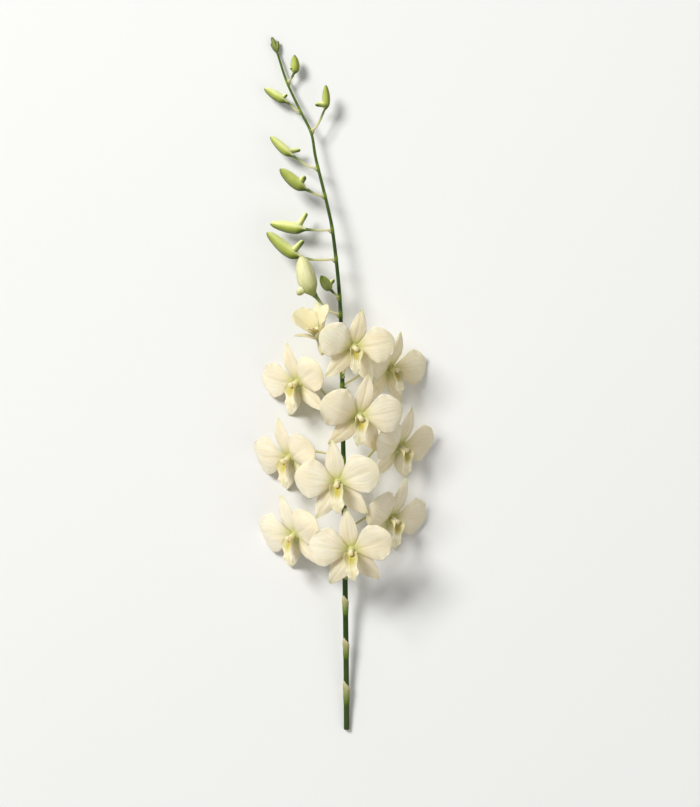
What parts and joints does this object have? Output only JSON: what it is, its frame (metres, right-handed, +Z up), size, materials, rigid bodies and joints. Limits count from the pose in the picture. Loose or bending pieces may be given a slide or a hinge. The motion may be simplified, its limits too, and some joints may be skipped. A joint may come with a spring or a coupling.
{
  "type": "dendrobium orchid stem",
  "caption": "Cut dendrobium orchid stem lying on a surface: a slender arched green stem with white blooms along its middle and green buds on thin stalks towards its tip.",
  "frame": {"origin": "on the surface that the stem lies on, under the middle of its bounding box", "axes": "+Y along the stem from its cut end to its tip, +X to the right seen from above, +Z up, the way the blooms face"},
  "size_m": [0.1469, 0.569, 0.07],
  "materials": {
    "stem_green": "satin",
    "petal_white": "matte",
    "lip_cream": "matte",
    "bud_green": "satin",
    "bud_cream": "satin"
  },
  "bodies": {
    "root": {"stem": "stem_green", "bloom_1": "petal_white", "bloom_2": "petal_white", "bloom_3": "petal_white", "bloom_4": "petal_white", "bloom_5": "petal_white", "bloom_6": "petal_white", "bloom_7": "petal_white", "bloom_8": "petal_white", "bloom_9": "petal_white", "bloom_10": "petal_white", "bloom_11": "petal_white", "lip_1": "lip_cream", "lip_2": "lip_cream", "lip_3": "lip_cream", "lip_4": "lip_cream", "lip_5": "lip_cream", "lip_6": "lip_cream", "lip_7": "lip_cream", "lip_8": "lip_cream", "lip_9": "lip_cream", "lip_10": "lip_cream", "lip_11": "lip_cream", "bud_a": "bud_green", "bud_b": "bud_green", "bud_c": "bud_green", "bud_d": "bud_green", "bud_e": "bud_green", "bud_f": "bud_green", "bud_g": "bud_green", "bud_h": "bud_cream", "bud_i": "bud_green", "tip_buds": "bud_green"}
  },
  "joints": []
}
